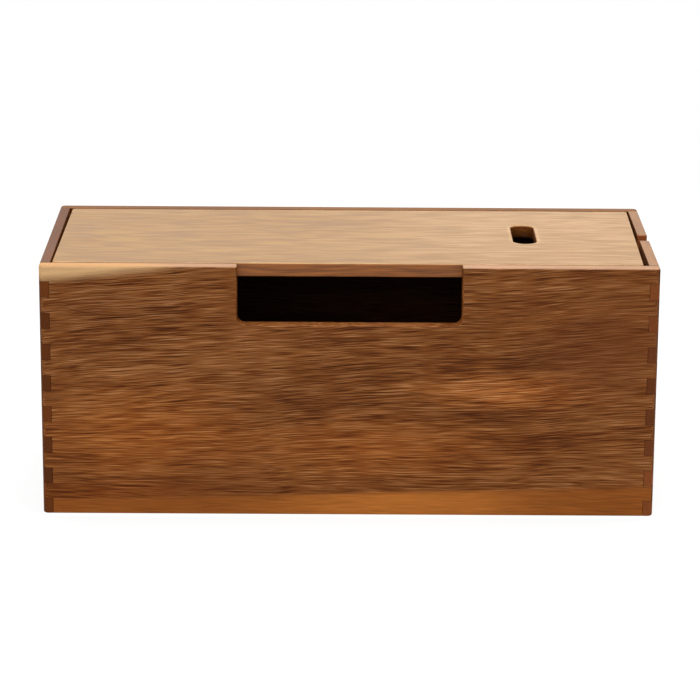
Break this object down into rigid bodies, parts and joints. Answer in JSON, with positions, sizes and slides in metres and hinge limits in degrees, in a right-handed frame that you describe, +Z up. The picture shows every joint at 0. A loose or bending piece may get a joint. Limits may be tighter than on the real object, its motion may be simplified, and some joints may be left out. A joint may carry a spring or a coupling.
{
  "type": "cable management box",
  "caption": "Low wooden desk box with box-jointed corners, a front notch and a side slot for leads, and a loose flush lid with a finger slot.",
  "frame": {"origin": "on the desk, below the middle of the box", "axes": "+X along the box's long side to the right as seen from the notched front, +Y from front to back, +Z up"},
  "size_m": [0.31, 0.132, 0.1315],
  "materials": {
    "front_wood": "satin oiled walnut, with a strip of pale sapwood",
    "back_wood": "satin oiled walnut",
    "end_wood": "satin oiled walnut",
    "lid_wood": "satin oiled light wood, straight grain",
    "base_wood": "plain sanded board",
    "block_wood": "plain sanded blocks",
    "pad_rubber": "matt black"
  },
  "bodies": {
    "box": {"front_panel": "front_wood", "back_panel": "back_wood", "left_end_panel": "end_wood", "right_end_panel": "end_wood", "base_panel": "base_wood", "lid_block_front_left": "block_wood", "lid_block_front_right": "block_wood", "lid_block_back_right": "block_wood", "lid_block_back_left": "block_wood", "foot_pad_front_left": "pad_rubber", "foot_pad_front_right": "pad_rubber", "foot_pad_back_right": "pad_rubber", "foot_pad_back_left": "pad_rubber"},
    "lid": {"lid": "lid_wood"}
  },
  "joints": [
    {"name": "lid_lift", "type": "slide", "parent": "box", "child": "lid", "axis": [0, 0, 1], "range_m": [0, 0.06]}
  ]
}
